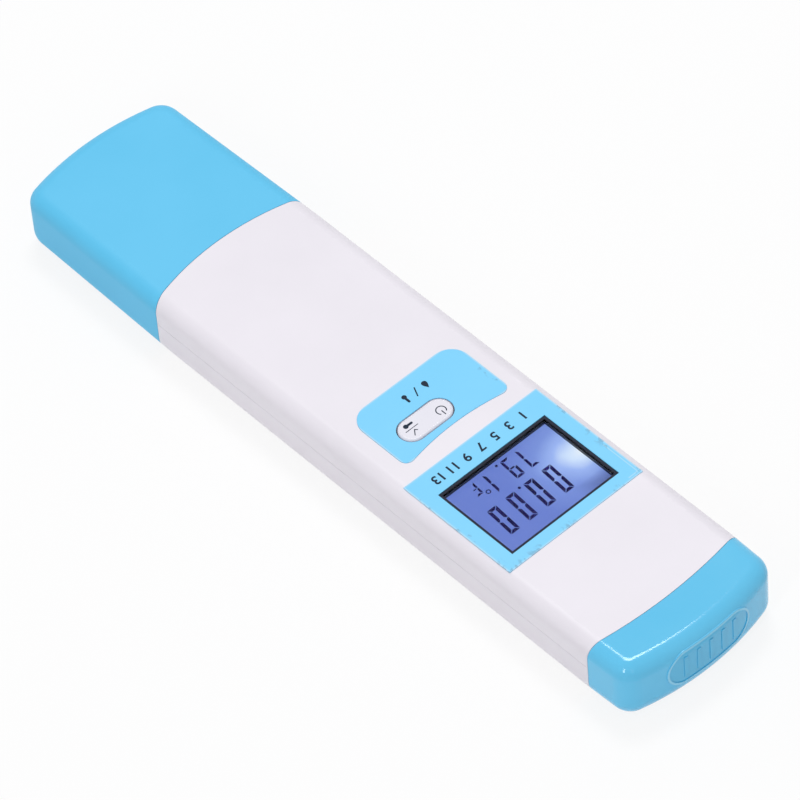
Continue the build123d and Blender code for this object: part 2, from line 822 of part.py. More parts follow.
def contact_strip_metal(outer_x, inward):
    """Upright sheet strip beside the row of cells, ending in a foot on the board."""
    strip_x = outer_x + inward * contact_metal / 2
    foot_x = outer_x + inward * contact_foot_width / 2
    strip_end_y = board_high_y + contact_fit
    with BuildPart() as strip:
        with BuildSketch(Plane.XY.offset(contact_low)):
            with Locations((strip_x, (strip_end_y + cell_y + contact_overlap) / 2)):
                Rectangle(contact_metal, cell_y + contact_overlap - strip_end_y)
        extrude(amount=contact_high - contact_low)
        with BuildSketch(Plane.XY.offset(board_top)):
            with Locations((foot_x, strip_end_y + contact_metal - contact_foot_length / 2)):
                Rectangle(contact_foot_width, contact_foot_length)
        extrude(amount=contact_metal)
    return strip.part


# Flat contact at one end of the row, bowed contact that presses the row from the other.
battery_plate_strip = contact_strip_metal(holder_right, -1)
with BuildPart() as battery_plate:
    add(battery_plate_strip)
save(battery_plate.part, "battery_plate")

spring_strip = contact_strip_metal(holder_left, 1)
with BuildPart() as battery_spring:
    add(spring_strip)
    with BuildSketch(Plane.XY.offset(mid_height - contact_tongue_height / 2)):
        with BuildLine():
            ThreePointArc(
                (holder_left + contact_metal / 2, cell_y - contact_overlap),
                (-stack_half - contact_metal / 2, cell_y),
                (holder_left + contact_metal / 2, cell_y + contact_overlap - contact_metal),
            )
        trace(line_width=contact_metal)
    extrude(amount=contact_tongue_height)
save(battery_spring.part, "battery_spring")

# Probe collar: closes the neck and carries the electrode, its guard and the temperature pin.
plug_form = case_form(probe_cap_wall + cap_fit + probe_neck_wall + collar_fit)
collar_plate = stretch(probe_neck_form, collar_face, probe_neck_end)
collar_plug = stretch(plug_form, probe_neck_end, collar_back)
with BuildPart() as probe_collar:
    add(collar_plate)
    add(collar_plug)
    with BuildSketch(Plane.XZ.offset(-collar_face)):
        with Locations((0, mid_height)):
            Circle(guard_radius - guard_wall - probe_fit)
        with Locations((temperature_x, mid_height)):
            Circle(temperature_radius + temperature_boss_wall)
    extrude(amount=temperature_seat)
    with BuildSketch(Plane.XZ.offset(-probe_neck_end)):
        with Locations((0, mid_height)):
            Circle(electrode_radius + probe_fit)
        with Locations((temperature_x, mid_height)):
            Circle(temperature_radius + probe_fit)
    extrude(amount=collar_thickness + temperature_seat, mode=Mode.SUBTRACT)
    with BuildSketch(Plane.XZ.offset(-collar_back)):
        with Locations((0, mid_height)):
            Circle(wire_radius + probe_fit)
    extrude(amount=collar_plug_length, mode=Mode.SUBTRACT)
save(probe_collar.part, "probe_collar")

# Guard tube with four slots open at its tip, so that the bulb is washed but not knocked.
with BuildPart() as probe_guard:
    with BuildSketch(Plane.XZ.offset(-collar_face)):
        with Locations((0, mid_height)):
            Circle(guard_radius)
            Circle(guard_radius - guard_wall, mode=Mode.SUBTRACT)
    extrude(amount=collar_face - guard_tip)
    fillet(probe_guard.edges().group_by(Axis.Y)[0], radius=guard_tip_radius)
    with BuildSketch(Plane.XY):
        with Locations((0, guard_tip)):
            SlotOverall(2 * guard_slot_length, guard_slot_width, rotation=90)
    extrude(amount=thickness, mode=Mode.SUBTRACT)
    with BuildSketch(Plane.YZ.offset(-width / 2)):
        with Locations((guard_tip, mid_height)):
            SlotOverall(2 * guard_slot_length, guard_slot_width)
    extrude(amount=width, mode=Mode.SUBTRACT)
save(probe_guard.part, "probe_guard")

with BuildPart() as electrode_tube:
    with BuildSketch(Plane.XZ.offset(-probe_neck_end)):
        with Locations((0, mid_height)):
            Circle(electrode_radius)
            Circle(electrode_radius - electrode_wall, mode=Mode.SUBTRACT)
    extrude(amount=probe_neck_end - electrode_end)
save(electrode_tube.part, "electrode_tube")

with BuildPart() as glass_bulb:
    with Locations((0, bulb_y, mid_height)):
        Sphere(bulb_radius)
        Sphere(bulb_radius - bulb_wall, mode=Mode.SUBTRACT)
    split(bisect_by=Plane.XZ.offset(-electrode_end), keep=Keep.TOP)
save(glass_bulb.part, "glass_bulb")

# Silver wire down the middle of the tube, with its thicker coated end near the bulb.
wire_end = bulb_y + wire_bulb_gap
with BuildPart() as silver_wire:
    with BuildSketch(Plane.XZ.offset(-collar_back)):
        with Locations((0, mid_height)):
            Circle(wire_radius)
    extrude(amount=collar_back - wire_end)
    with BuildSketch(Plane.XZ.offset(-wire_end - wire_coat_length)):
        with Locations((0, mid_height)):
            Circle(wire_coat_radius)
    extrude(amount=wire_coat_length)
save(silver_wire.part, "silver_wire")

with BuildPart() as reference_junction:
    with BuildSketch(Plane.XZ.offset(-electrode_end - junction_end_gap)):
        with Locations((0, mid_height)):
            Circle(guard_radius - guard_wall - probe_fit)
            Circle(electrode_radius + probe_fit, mode=Mode.SUBTRACT)
    extrude(amount=-junction_length)
save(reference_junction.part, "reference_junction")

with BuildPart() as temperature_probe:
    with BuildSketch(Plane.XZ.offset(-probe_neck_end)):
        with Locations((temperature_x, mid_height)):
            Circle(temperature_radius)
    extrude(amount=probe_neck_end - guard_tip - temperature_setback)
    fillet(temperature_probe.edges().group_by(Axis.Y)[0], radius=temperature_radius - probe_fit)
save(temperature_probe.part, "temperature_probe")

# Two leads from the back of the collar up to the socket on the board.
socket_face_y = socket_y - socket_length / 2
socket_z = board_top + socket_height / 2
with BuildPart() as probe_leads:
    for start_x, end_x in ((0, -lead_spread), (temperature_x, lead_spread)):
        with BuildLine() as route:
            FilletPolyline(
                (start_x, collar_back, mid_height),
                (start_x, collar_back + lead_straight, mid_height),
                (end_x, socket_face_y - lead_straight, socket_z),
                (end_x, socket_face_y, socket_z),
                radius=lead_bend,
            )
        with BuildSketch(Plane(origin=route.line @ 0, z_dir=route.line % 0)):
            Circle(lead_radius)
        sweep(path=route.line)
save(probe_leads.part, "probe_leads")
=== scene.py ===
from math import cos, radians, sin, tau

import bpy
import numpy as np
from mathutils import Matrix, Vector


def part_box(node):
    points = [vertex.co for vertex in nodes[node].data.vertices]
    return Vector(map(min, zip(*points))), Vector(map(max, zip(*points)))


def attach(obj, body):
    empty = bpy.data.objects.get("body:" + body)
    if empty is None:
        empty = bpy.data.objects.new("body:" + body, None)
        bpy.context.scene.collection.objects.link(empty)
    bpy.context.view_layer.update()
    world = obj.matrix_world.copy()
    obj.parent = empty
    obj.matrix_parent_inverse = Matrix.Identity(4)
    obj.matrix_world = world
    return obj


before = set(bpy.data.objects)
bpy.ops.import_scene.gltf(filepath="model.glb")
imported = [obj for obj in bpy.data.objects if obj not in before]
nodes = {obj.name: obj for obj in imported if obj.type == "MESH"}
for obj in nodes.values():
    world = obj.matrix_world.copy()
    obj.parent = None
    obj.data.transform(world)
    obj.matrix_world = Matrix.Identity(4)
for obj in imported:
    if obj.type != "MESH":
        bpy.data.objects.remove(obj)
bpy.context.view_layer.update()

# The photograph's view: a long lens looks down at the battery end, turned a little clockwise,
# and the pen lies on its back and runs away to the upper left.
view_azimuth = radians(141.179)
view_elevation = radians(49.375)
view_roll = radians(-5.162)
view_distance = 1.2596
view_target = Vector((-0.00516, -0.00299, 0.0))
view_lens = 286.57
sensor_width = 36.0
view_far_end = 20.0


def add_object(name, data):
    """A new object at the origin, shown in the scene."""
    thing = bpy.data.objects.new(name, data)
    bpy.context.scene.collection.objects.link(thing)
    return thing


view_back = Vector((
    sin(view_azimuth) * cos(view_elevation),
    -cos(view_azimuth) * cos(view_elevation),
    sin(view_elevation),
))
level_right = (-view_back).cross(Vector((0, 0, 1))).normalized()
level_up = level_right.cross(-view_back)
view_right = cos(view_roll) * level_right + sin(view_roll) * level_up
view_up = cos(view_roll) * level_up - sin(view_roll) * level_right
camera_data = bpy.data.cameras.new("camera")
camera_data.lens = view_lens
camera_data.sensor_width = sensor_width
camera_data.clip_end = view_far_end
camera = add_object("camera", camera_data)
camera.matrix_world = (
    Matrix.Translation(view_target + view_back * view_distance)
    @ Matrix((view_right, view_up, view_back)).transposed().to_4x4()
)
bpy.context.scene.camera = camera

# The housing: two injection-moulded halves in white, faintly lavender plastic with a fine
# satin grain. They meet in a tongue and groove that shows as a thin line along each side.
case_white = (233, 229, 236)
case_shade = (229, 225, 232)
cloud_size = 0.02
hairline_size = 0.004
hairline_stretch = (1, 40, 1)
hairline_stops = [(0.60, 0.0), (0.64, 1.0), (0.68, 0.0)]
pore_gloss_spread = 0.08
hairline_gloss_spread = 0.04


def linear(colour):
    """An 8-bit screen colour as scene light: each channel by the standard screen curve."""
    share = np.array(colour) / 255
    light = np.where(share <= 0.04045, share / 12.92, ((share + 0.055) / 1.055) ** 2.4)
    return (*light.tolist(), 1.0)


def add_node(tree, kind, **settings):
    """A new node of that kind with its settings filled in."""
    node = tree.nodes.new(kind)
    for key, value in settings.items():
        setattr(node, key, value)
    return node


def feed(tree, node, values):
    """Fills in a node's inputs by name or number: a socket is linked, anything else is set."""
    for key, value in values.items():
        if isinstance(value, bpy.types.NodeSocket):
            tree.links.new(value, node.inputs[key])
        else:
            node.inputs[key].default_value = value


def compute(tree, operation, *values):
    """One arithmetic step on sockets or plain numbers."""
    node = add_node(tree, "ShaderNodeMath", operation=operation)
    feed(tree, node, dict(enumerate(values)))
    return node.outputs["Value"]


def product(tree, first, *others):
    """Several numbers multiplied together."""
    for other in others:
        first = compute(tree, "MULTIPLY", first, other)
    return first


def ramp(tree, value, stops):
    """A value turned into a colour by stops of (place, colour as scene light)."""
    node = add_node(tree, "ShaderNodeValToRGB")
    elements = node.color_ramp.elements
    while len(elements) < len(stops):
        elements.new(0.5)
    for element, (place, colour) in zip(elements, stops):
        element.position = place
        element.color = colour
    feed(tree, node, {"Fac": value})
    return node.outputs["Color"]


def tinted(tree, value, stops):
    """A value turned into a colour by stops of (place, screen colour)."""
    return ramp(tree, value, [(place, linear(colour)) for place, colour in stops])


def levelled(tree, value, stops):
    """A value turned into a number by stops of (place, level)."""
    return ramp(tree, value, [(place, (level, level, level, 1.0)) for place, level in stops])


def new_material(name):
    """An empty plastic-like material: itself, its node tree and its main shader."""
    material = bpy.data.materials.new(name)
    material.use_nodes = True
    tree = material.node_tree
    return material, tree, tree.nodes["Principled BSDF"]


def own_space(tree, scale):
    """The piece's own coordinates in metres, times a scale for each axis."""
    coordinates = add_node(tree, "ShaderNodeTexCoord")
    mapping = add_node(tree, "ShaderNodeMapping")
    feed(tree, mapping, {"Vector": coordinates.outputs["Object"], "Scale": scale})
    return mapping.outputs["Vector"]


def grain(tree, size, detail=2.0, stretch=(1, 1, 1), rough=0.5):
    """Soft noise over the piece's own coordinates, in lumps about size metres across."""
    place = own_space(tree, [factor / size for factor in stretch])
    noise = add_node(tree, "ShaderNodeTexNoise")
    feed(tree, noise, {"Vector": place, "Scale": 1.0, "Detail": detail, "Roughness": rough})
    return noise.outputs["Fac"]


def raised(tree, shader, height, depth):
    """Bump on a shader, depth metres from the height's black to its white."""
    node = add_node(tree, "ShaderNodeBump")
    feed(tree, node, {"Height": height, "Distance": depth, "Strength": 1.0})
    feed(tree, shader, {"Normal": node.outputs["Normal"]})


def moulded(name, colour, shade, gloss, grain_size, grain_depth):
    """Moulded plastic: colour clouds softly into shade, and a fine grain sets gloss and bump."""
    material, tree, shader = new_material(name)
    clouds = grain(tree, cloud_size, detail=3.0)
    pores = grain(tree, grain_size, detail=4.0, rough=0.6)
    hairlines = grain(tree, hairline_size, detail=1.0, stretch=hairline_stretch)
    rubbed = levelled(tree, hairlines, hairline_stops)
    roughness = compute(tree, "MULTIPLY_ADD", pores, pore_gloss_spread, gloss - pore_gloss_spread / 2)
    feed(tree, shader, {
        "Base Color": tinted(tree, clouds, [(0.3, shade), (0.7, colour)]),
        "Roughness": compute(tree, "MULTIPLY_ADD", rubbed, hairline_gloss_spread, roughness),
    })
    raised(tree, shader, pores, grain_depth)
    return material


def dress(material, *names):
    """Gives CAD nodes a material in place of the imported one."""
    for name in names:
        nodes[name].data.materials.clear()
        nodes[name].data.materials.append(material)


white_case = moulded("white_case", case_white, case_shade,
                     gloss=0.42, grain_size=0.0003, grain_depth=0.000004)
dress(white_case, "front_shell", "rear_shell")

# The long cap over the probe: the same moulding in sky blue, with a dry matt texture
# from the mould. It is pushed over the neck and its sealing ring.
cap_blue = (91, 194, 236)
cap_blue_shade = (86, 191, 233)
matt_cap = moulded("matt_blue_cap", cap_blue, cap_blue_shade,
                   gloss=0.50, grain_size=0.00035, grain_depth=0.000008)
dress(matt_cap, "probe_cap")

# The short cap over the cells: the same blue plastic, but from a polished mould, so that it
# shows narrow highlights along its rounded edges. Its blue is painted a little lighter, as painted sheen.
# The thumb pad on its end is bounded by a raised line, painted lighter as a painted highlight, and the bed
# between its ribs is a little darker.
# A little lighter than the long cap's blue: painted sheen for the polished face.
painted_sheen_blue = (100, 198, 238)
pad_blue = (66, 174, 216)
# The pale blue painted on the pad's raised line is a painted highlight.
pad_line_highlight_blue = (158, 218, 242)
pad_line_width = 0.00065
pad_half_length = 0.0109
pad_half_height = 0.0046
pad_centre_z = 0.0086
pad_end_depth = 0.0034
pad_shade_share = 0.5
pad_line_highlight_share = 0.8


def coordinate(tree, axis):
    """One coordinate of the piece's own space, in metres."""
    coordinates = add_node(tree, "ShaderNodeTexCoord")
    split = add_node(tree, "ShaderNodeSeparateXYZ")
    feed(tree, split, {"Vector": coordinates.outputs["Object"]})
    return split.outputs[axis]


def offset(tree, axis, start):
    """How far a point lies past start along one axis, in metres."""
    return compute(tree, "SUBTRACT", coordinate(tree, axis), start)


def length(tree, across, upward):
    """The length of two offsets at right angles."""
    squares = [product(tree, way, way) for way in (across, upward)]
    return compute(tree, "SQRT", compute(tree, "ADD", *squares))


def band(tree, value, middle, half_width):
    """1 where a value is middle, falling straight to 0 at half_width to either side."""
    away = compute(tree, "ABSOLUTE", compute(tree, "SUBTRACT", value, middle))
    share = compute(tree, "DIVIDE", away, half_width)
    return compute(tree, "MAXIMUM", compute(tree, "SUBTRACT", 1.0, share), 0.0)


def mixed(tree, share, first, second):
    """Two colours mixed by a share from 0 to 1, at the mix node's colour sockets."""
    node = add_node(tree, "ShaderNodeMix", data_type="RGBA")
    feed(tree, node, {0: share, 6: first, 7: second})
    return node.outputs[2]


gloss_cap = moulded("gloss_blue_cap", painted_sheen_blue, cap_blue,
                    gloss=0.13, grain_size=0.0012, grain_depth=0.0000015)
tree = gloss_cap.node_tree
shader = tree.nodes["Principled BSDF"]
pad_line_middle = pad_half_height - pad_line_width / 2
past_straight = compute(tree, "SUBTRACT", compute(tree, "ABSOLUTE", coordinate(tree, "X")),
                        pad_half_length - pad_half_height)
reach = length(tree, compute(tree, "MAXIMUM", past_straight, 0.0), offset(tree, "Z", pad_centre_z))
on_end = compute(tree, "GREATER_THAN", coordinate(tree, "Y"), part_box("battery_cap")[1].y - pad_end_depth)
inside = compute(tree, "LESS_THAN", reach, pad_line_middle)
line = band(tree, reach, pad_line_middle, pad_line_width / 2)
plain = shader.inputs["Base Color"].links[0].from_socket
tint = mixed(tree, product(tree, inside, on_end, pad_shade_share), plain, linear(pad_blue))
# Painted highlight: the raised line of the pad is lightened towards the pale blue.
tint = mixed(tree, product(tree, line, on_end, pad_line_highlight_share), tint, linear(pad_line_highlight_blue))
feed(tree, shader, {"Base Color": tint, "Specular IOR Level": 0.4})
dress(gloss_cap, "battery_cap")

# The two films on the front: thin printed polycarbonate in a lighter blue, cut to shape and
# stuck into shallow pockets. The cut edge is clear, and handling has left small scuffs by it.
# A pale line painted just inside the display film's edge, towards -X and +Y, is a painted highlight.
film_blue = (118, 206, 247)
film_blue_shade = (114, 204, 245)
# Pale blue for the clear rim at the cut, also used for the painted highlight line.
film_clear_and_highlight = (176, 218, 240)
film_scuff = (88, 140, 172)
film_cloud_size = 0.012
film_rim, film_rim_share = 0.0004, 0.7
# A pale band painted this far inside the film's edge: a painted highlight where the film runs over the
# housing's rounded edge.
film_highlight_inset, film_highlight_half_width, film_highlight_share = 0.0007, 0.00016, 0.9
# An X that no film reaches, so that the button film has no painted highlight.
no_highlight_x = -1.0
worn_rim, worn_speck_size, worn_patch_size, worn_share = 0.0016, 0.0011, 0.006, 0.5
film_pore_size, film_pore_depth = 0.00025, 0.000003
film_gloss, film_gloss_spread = 0.36, 0.1


def inside_box(tree, low, high):
    """How far a point lies inside an upright box in X and Y: the least distance to its four sides."""
    centre = (low + high) / 2
    half = (high - low) / 2
    gaps = []
    for axis in (0, 1):
        off_centre = compute(tree, "ABSOLUTE", offset(tree, "XY"[axis], centre[axis]))
        gaps.append(compute(tree, "SUBTRACT", half[axis], off_centre))
    return compute(tree, "MINIMUM", *gaps)


def printed_film(name, node, scuff_low_y, highlight_high_x, highlight_low_y):
    """Printed film: blue ink under a satin face, a clear rim at the cut, and scuffs past scuff_low_y.

    Towards -X and +Y, as the last two arguments set, a pale line just inside the edge is a painted highlight
    where the film runs over the housing's rounded edge."""
    material, tree, shader = new_material(name)
    low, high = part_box(node)
    depth = inside_box(tree, low, high)
    x, y = coordinate(tree, "X"), coordinate(tree, "Y")
    clouds = grain(tree, film_cloud_size, detail=3.0)
    rim = levelled(tree, compute(tree, "DIVIDE", depth, film_rim), [(0.25, 1.0), (1.0, 0.0)])
    # Painted highlight: a pale band inside the edge, only towards -X and +Y.
    painted_highlight = product(tree, band(tree, depth, film_highlight_inset, film_highlight_half_width),
                     compute(tree, "LESS_THAN", x, highlight_high_x),
                     compute(tree, "GREATER_THAN", y, highlight_low_y))
    specks = grain(tree, worn_speck_size, detail=4.0, stretch=(1.6, 0.8, 1), rough=0.65)
    patches = grain(tree, worn_patch_size, detail=1.0)
    worn = levelled(tree, product(tree, specks, patches, 2.0), [(0.62, 0.0), (0.72, 1.0)])
    near_edge = levelled(tree, compute(tree, "DIVIDE", depth, worn_rim), [(0.3, 1.0), (1.0, 0.0)])
    scuffs = product(tree, worn, near_edge, compute(tree, "GREATER_THAN", y, scuff_low_y))
    tint = tinted(tree, clouds, [(0.3, film_blue_shade), (0.7, film_blue)])
    tint = mixed(tree, product(tree, rim, film_rim_share), tint, linear(film_clear_and_highlight))
    tint = mixed(tree, product(tree, painted_highlight, film_highlight_share), tint, linear(film_clear_and_highlight))
    tint = mixed(tree, product(tree, scuffs, worn_share), tint, linear(film_scuff))
    pores = grain(tree, film_pore_size, detail=3.0)
    feed(tree, shader, {
        "Base Color": tint,
        "Roughness": compute(tree, "MULTIPLY_ADD", pores, film_gloss_spread, film_gloss),
    })
    raised(tree, shader, pores, film_pore_depth)
    return material


display_film = printed_film("display_film", "display_label",
                            scuff_low_y=0.028, highlight_high_x=-0.0145, highlight_low_y=0.0435)
dress(display_film, "display_label")
button_film = printed_film("button_film", "button_label",
                           scuff_low_y=0.012, highlight_high_x=no_highlight_x, highlight_low_y=0.0)
dress(button_film, "button_label")

# The window: a clear acrylic pane under the display film. Its polished faces are slightly
# uneven, as on any thin moulding, and coated against reflections, which its low index gives.
window_tint = (246, 249, 252)
window_index = 1.12


def clear(name, tint, index, blur, ripple_size, ripple_detail=2.0, ripple_depth=0.0):
    """Clear glass or plastic: a faint tint, and a soft ripple that blurs it by up to blur."""
    material, tree, shader = new_material(name)
    ripple = grain(tree, ripple_size, detail=ripple_detail)
    feed(tree, shader, {
        "Base Color": linear(tint),
        "Transmission Weight": 1.0,
        "IOR": index,
        "Roughness": product(tree, ripple, blur),
    })
    if ripple_depth:
        raised(tree, shader, ripple, ripple_depth)
    return material


window_pane = clear("window_pane", window_tint, window_index,
                    blur=0.02, ripple_size=0.006, ripple_detail=1.0)
dress(window_pane, "display_lens")

# The display: a glass cell lit from the -X side by one lamp, so that a white glow at that
# edge fades through blue into violet. The corner towards -X and +Y is darkened by a painted shadow of the
# window's edge.
# A dark frame holds it on its light guide, and striped rubber joins it to the board.
glow_centre = (-0.0137, 0.0404)
glow_reach = (0.0070, 0.0056)
glow_spread = 0.42
glow_unevenness = 0.35
glow_start = 0.17
glow_strength = 0.97
glow_stops = [
    (0.0, (240, 248, 255)),
    (0.14, (214, 232, 255)),
    (0.34, (158, 184, 242)),
    (0.62, (122, 147, 218)),
    (1.0, (105, 127, 205)),
]
# The corner towards -X and +Y is darkened: a painted shadow of the window's edge.
shadow_corner_start = (-0.0060, 0.0462)
shadow_corner_reach = (-0.0080, 0.0040)
painted_shadow_blue = (62, 72, 120)
cell_unlit = (16, 20, 44)
cell_unevenness_size = 0.009
stripe_pitch = 0.0005
stripe_dark = (60, 62, 66)
stripe_pale = (170, 168, 160)


def shares(tree, start, reach):
    """How far a point lies past start in X and in Y, each as a share of its reach."""
    return [
        compute(tree, "DIVIDE", offset(tree, axis, first), whole)
        for axis, first, whole in zip("XY", start, reach)
    ]


lit_cell, tree, shader = new_material("lit_display_cell")
spread = product(tree, length(tree, *shares(tree, glow_centre, glow_reach)), glow_spread)
spread = compute(tree, "MULTIPLY_ADD", grain(tree, cell_unevenness_size), glow_unevenness, spread)
glow = tinted(tree, compute(tree, "SUBTRACT", spread, glow_start), glow_stops)
# Painted shadow of the window over the glow in that corner.
in_shadow_corner = compute(tree, "MINIMUM", *shares(tree, shadow_corner_start, shadow_corner_reach))
painted_window_shadow = levelled(tree, in_shadow_corner, [(0.0, 0.0), (1.0, 0.8)])
feed(tree, shader, {
    "Base Color": linear(cell_unlit),
    "Roughness": 0.35,
    "Specular IOR Level": 0.1,
    "Emission Color": mixed(tree, painted_window_shadow, glow, linear(painted_shadow_blue)),
    "Emission Strength": glow_strength,
})
dress(lit_cell, "lcd_glass")

light_guide = moulded("light_guide", (205, 218, 245), (190, 205, 238),
                      gloss=0.5, grain_size=0.0004, grain_depth=0.000004)
dress(light_guide, "backlight")
black_plastic = moulded("black_plastic", (34, 36, 42), (28, 30, 36),
                        gloss=0.45, grain_size=0.0003, grain_depth=0.000006)
dress(black_plastic, "display_bezel", "battery_holder", "controller_chip", "tact_switch")
contact_rubber, tree, shader = new_material("contact_rubber")
stripes = compute(tree, "SINE", product(tree, coordinate(tree, "X"), tau / stripe_pitch))
feed(tree, shader, {
    "Base Color": tinted(tree, stripes, [(0.4, stripe_dark), (0.6, stripe_pale)]),
    "Roughness": 0.7,
})
dress(contact_rubber, "contact_strip")

# The digits: dark electrode shapes on the cell's face, each a few bars with narrow gaps.
# Four tall zeros share a point, a smaller line gives degrees, and all lean a little to +X.
digit_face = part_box("lcd_glass")[1].z
digit_rise = 0.00002
bar_gap = 0.00021
digit_lean = 0.068
zero, seven, nine, one, letter_f = "abcdef", "abc", "abcdfg", "bc", "aefg"
tall_digit = {"width": 0.00240, "height": 0.00745, "thick": 0.00074}
small_digit = {"width": 0.00210, "height": 0.00545, "thick": 0.00058}
unit_letter = {"width": 0.00165, "height": 0.00340, "thick": 0.00046}
tall_left_x, tall_foot_y, tall_pitch, tall_count = -0.00724, 0.03865, 0.0048, 4
small_foot_y = 0.03140
small_digits = [(seven, -0.00665), (nine, -0.00275), (one, 0.00200)]
tall_point_x, tall_point_y, tall_point_radius = 0.00101, 0.03875, 0.00032
small_point_x, small_point_y, small_point_radius = 0.00036, 0.03160, 0.00030
point_sides = 16
degree_x, degree_y, degree_radius = 0.00584, 0.03519, 0.00044
degree_line = 0.00022
degree_sides = 20
unit_x, unit_foot_y = 0.00640, 0.03130
display_ink_shade = (20, 14, 66)
display_ink_colour = (28, 20, 84)
display_ink_cloud_size = 0.003


def plate(outline, base, rise):
    """A flat plate: a closed outline in X and Y, counter-clockwise, carried straight up by rise."""
    count = len(outline)
    low = np.column_stack([outline, np.full(count, base)])
    high = np.column_stack([outline, np.full(count, base + rise)])
    ring = np.arange(count)
    following = np.roll(ring, -1)
    sides = np.column_stack([ring, following, following + count, ring + count])
    faces = [*sides.tolist(), ring[::-1].tolist(), (ring + count).tolist()]
    return np.vstack([low, high]), faces


def circle(x, y, radius, sides):
    """Points round a whole circle, counter-clockwise from +X."""
    angles = np.arange(sides) * tau / sides
    return np.column_stack([x + radius * np.cos(angles), y + radius * np.sin(angles)])


def hoop(x, y, radius, width, base, rise, sides):
    """A flat ring: four circles, low and high at each rim, joined into a square tube."""
    rims = [(radius + width / 2, base), (radius - width / 2, base),
            (radius - width / 2, base + rise), (radius + width / 2, base + rise)]
    points = np.vstack([
        np.column_stack([circle(x, y, rim, sides), np.full(sides, height)]) for rim, height in rims
    ])
    index = np.arange(4 * sides).reshape(4, sides)
    forward = np.roll(index, -1, axis=1)
    turn = np.roll(index, -1, axis=0)
    turn_forward = np.roll(turn, -1, axis=1)
    quads = np.stack([index, turn, turn_forward, forward], axis=2).reshape(-1, 4)
    return points, quads.tolist()


def outward(outline):
    """The same outline, turned to run counter-clockwise by the sign of its area."""
    x, y = outline[:, 0], outline[:, 1]
    area = np.sum(x * np.roll(y, -1) - y * np.roll(x, -1))
    return outline if area > 0 else outline[::-1]


def digit_bars(lit, width, height, thick):
    """Outlines of a digit's lit bars, a to g as a seven-bar digit names them, from its lower left.

    Each end of a bar is cut at 45 degrees and held back from the next by the gap."""
    mid = height / 2
    half = thick / 2
    gap = bar_gap / 2
    far = width - thick - gap
    left = [(0, mid + gap), (half, mid + gap), (thick, mid + half + gap),
            (thick, height - thick - gap), (0, height - gap)]
    top = [(gap, height), (thick + gap, height - thick), (far, height - thick), (width - gap, height)]
    middle = [(gap + half, mid), (thick + gap, mid - half + gap), (far, mid - half + gap),
              (width - half - gap, mid), (far, mid + half - gap), (thick + gap, mid + half - gap)]

    def flipped(bar, across=False, over=False):
        """A bar mirrored from left to right, from top to bottom, or both."""
        return [(width - x if across else x, height - y if over else y) for x, y in bar]

    bars = {
        "a": top,
        "b": flipped(left, across=True),
        "c": flipped(left, across=True, over=True),
        "d": flipped(top, over=True),
        "e": flipped(left, over=True),
        "f": left,
        "g": middle,
    }
    return [np.array(bars[letter]) for letter in lit]


def digit(lit, x, y, width, height, thick):
    """The plates of one digit with its lower left corner at x and y, leaning towards +X."""
    shapes = []
    for bar in digit_bars(lit, width, height, thick):
        leaned = bar + np.column_stack([bar[:, 1] * digit_lean, np.zeros(len(bar))])
        shapes.append(plate(outward(leaned) + (x, y), digit_face, digit_rise))
    return shapes


def piece_from(name, shapes, material, body):
    """Joins shapes, each its points and faces, into one mesh that rides on a body."""
    points = []
    faces = []
    start = 0
    for shape_points, shape_faces in shapes:
        points.append(shape_points)
        faces += [[start + corner for corner in face] for face in shape_faces]
        start += len(shape_points)
    mesh = bpy.data.meshes.new(name)
    mesh.from_pydata(np.vstack(points).tolist(), [], faces)
    mesh.materials.append(material)
    piece = add_object(name, mesh)
    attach(piece, body)


digit_shapes = []
for place in range(tall_count):
    digit_shapes += digit(zero, tall_left_x + place * tall_pitch, tall_foot_y, **tall_digit)
tall_point = circle(tall_point_x, tall_point_y, tall_point_radius, point_sides)
digit_shapes.append(plate(tall_point, digit_face, digit_rise))
for lit, x in small_digits:
    digit_shapes += digit(lit, x, small_foot_y, **small_digit)
small_point = circle(small_point_x, small_point_y, small_point_radius, point_sides)
digit_shapes.append(plate(small_point, digit_face, digit_rise))
digit_shapes.append(hoop(degree_x, degree_y, degree_radius, degree_line,
                         digit_face, digit_rise, degree_sides))
digit_shapes += digit(letter_f, unit_x, unit_foot_y, **unit_letter)

display_ink, tree, shader = new_material("display_ink")
ink_cloud = grain(tree, display_ink_cloud_size)
feed(tree, shader, {
    "Base Color": tinted(tree, ink_cloud, [(0.3, display_ink_shade), (0.7, display_ink_colour)]),
    "Roughness": 0.4,
    "Specular IOR Level": 0.05,
})
piece_from("display_digits", digit_shapes, display_ink, "housing")

# The dark line round the window: a band of black ink on the pane's face, inside the film's cut.
# It is four bars that meet at square corners.
border_width = 0.00062
border_rise = 0.00001
border_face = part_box("display_lens")[1].z
border_ink_shade = (24, 28, 44)
border_ink_colour = (34, 40, 58)
border_ink_cloud_size = 0.0008
window_side_margin = 0.00345
window_low_y, window_high_y = 0.02995, 0.05080


def stroke(path, width, base, rise):
    """A flat band: a line in X and Y widened by half of width to each side and carried up by rise."""
    path = np.asarray(path, float)
    along = np.gradient(path, axis=0)
    along /= np.linalg.norm(along, axis=1, keepdims=True)
    side = np.column_stack([-along[:, 1], along[:, 0]]) * width / 2
    return plate(np.vstack([path - side, (path + side)[::-1]]), base, rise)


window_half_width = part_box("display_label")[1].x - window_side_margin
border_x = window_half_width - border_width / 2
border_bars = []
for y in (window_low_y + border_width / 2, window_high_y - border_width / 2):
    ends = [(-window_half_width, y), (window_half_width, y)]
    border_bars.append(stroke(ends, border_width, border_face, border_rise))
for x in (-border_x, border_x):
    ends = [(x, window_low_y + border_width), (x, window_high_y - border_width)]
    border_bars.append(stroke(ends, border_width, border_face, border_rise))

border_ink, tree, shader = new_material("border_ink")
ink_cloud = grain(tree, border_ink_cloud_size)
feed(tree, shader, {
    "Base Color": tinted(tree, ink_cloud, [(0.3, border_ink_shade), (0.7, border_ink_colour)]),
    "Roughness": 0.5,
    "Specular IOR Level": 0.15,
})
piece_from("window_border", border_bars, border_ink, "housing")

